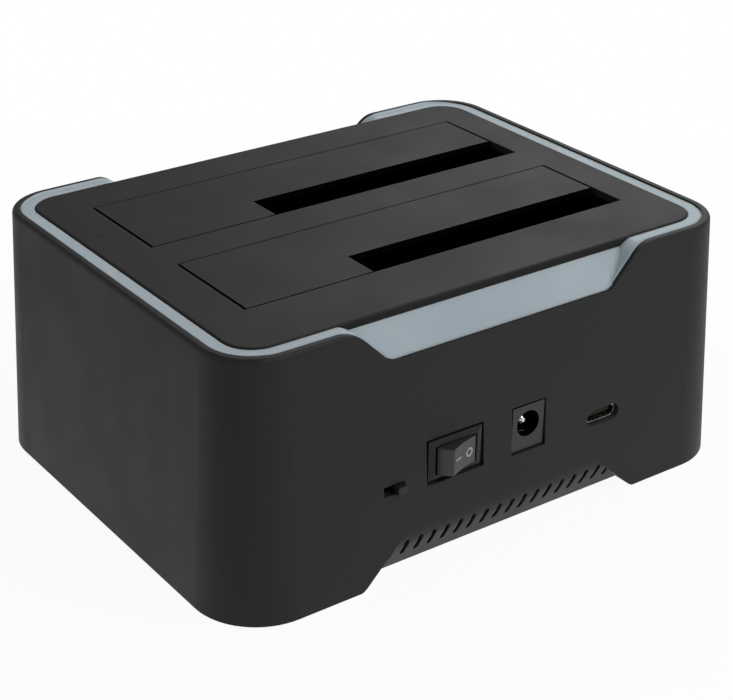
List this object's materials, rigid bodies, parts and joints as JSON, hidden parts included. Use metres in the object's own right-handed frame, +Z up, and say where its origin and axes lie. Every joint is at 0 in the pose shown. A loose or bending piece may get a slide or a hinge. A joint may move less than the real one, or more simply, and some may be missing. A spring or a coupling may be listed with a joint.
{
  "type": "hard drive docking station",
  "caption": "Desktop docking station that holds bare hard drives upright under sprung flaps, with a light ring, rocker switch, slide switch, DC jack and USB-C socket.",
  "frame": {"origin": "on the table under the middle of the case", "axes": "+X along the port side to the right, +Y away from the port side, +Z up"},
  "size_m": [0.142, 0.1134, 0.061],
  "materials": {
    "shell": "fine matt moulding, black",
    "diffuser": "milky translucent moulding, pale blue-grey",
    "panel": "fine matt moulding, black",
    "base": "matt moulding, black",
    "rubber": "soft matt rubber",
    "steel": "plain bright steel",
    "well": "matt moulding, black",
    "flap": "fine matt moulding, black",
    "board": "green solder mask on glass laminate",
    "connector": "moulded connector plastic, black",
    "gold": "gold-plated contact",
    "nickel": "nickel-plated sheet",
    "knob": "matt moulding, black",
    "switch": "satin moulding, black",
    "rocker": "satin moulding, dark grey",
    "terminal": "tinned brass",
    "lead": "red insulation",
    "chip": "moulded epoxy, black",
    "ferrite": "pressed ferrite, grey",
    "can": "bare can",
    "lamp": "white lamp body with a pale lens"
  },
  "bodies": {
    "case": {"outer_shell": "shell", "light_ring": "diffuser", "top_panel": "panel", "base_plate": "base", "rubber_feet": "rubber", "case_screws": "steel", "drive_well_1": "well", "drive_well_2": "well", "well_screws": "steel", "hinge_pin_1": "steel", "hinge_pin_2": "steel", "flap_spring_1": "steel", "flap_spring_2": "steel", "main_board": "board", "board_screws": "steel", "sata_socket_1": "connector", "sata_socket_2": "connector", "sata_contacts_1": "gold", "sata_contacts_2": "gold", "dc_jack_body": "connector", "dc_jack_pin": "nickel", "dc_jack_contact": "nickel", "usb_c_shell": "nickel", "usb_c_tongue": "connector", "usb_c_contacts": "gold", "slide_switch_body": "nickel", "power_switch_body": "switch", "power_switch_terminals": "terminal", "power_leads": "lead", "bridge_chip": "chip", "memory_chip": "chip", "regulators": "chip", "inductors": "ferrite", "capacitors": "can", "crystal": "nickel", "status_leds": "lamp"},
    "flap_1": {"flap_1": "flap"},
    "flap_2": {"flap_2": "flap"},
    "power_rocker": {"power_rocker": "rocker"},
    "slide_knob": {"slide_switch_knob": "knob"}
  },
  "joints": [
    {"name": "flap_1_hinge", "type": "hinge", "parent": "case", "child": "flap_1", "pos_m": [0, 0.0004, 0.0566], "axis": [1, 0, 0], "range_deg": [0, 88], "stiffness_Nm_per_rad": 0.005, "springref_deg": -28.65, "deforming": ["flap_spring_1"]},
    {"name": "flap_2_hinge", "type": "hinge", "parent": "case", "child": "flap_2", "pos_m": [0, 0.0388, 0.0566], "axis": [1, 0, 0], "range_deg": [0, 88], "stiffness_Nm_per_rad": 0.005, "springref_deg": -28.65, "deforming": ["flap_spring_2"]},
    {"name": "power_rocker_tip", "type": "hinge", "parent": "case", "child": "power_rocker", "pos_m": [-0.0137, -0.05276, 0.0259], "axis": [0, 0, -1], "range_deg": [0, 36]},
    {"name": "slide_knob_travel", "type": "slide", "parent": "case", "child": "slide_knob", "axis": [-1, 0, 0], "range_m": [0, 0.0028]}
  ]
}
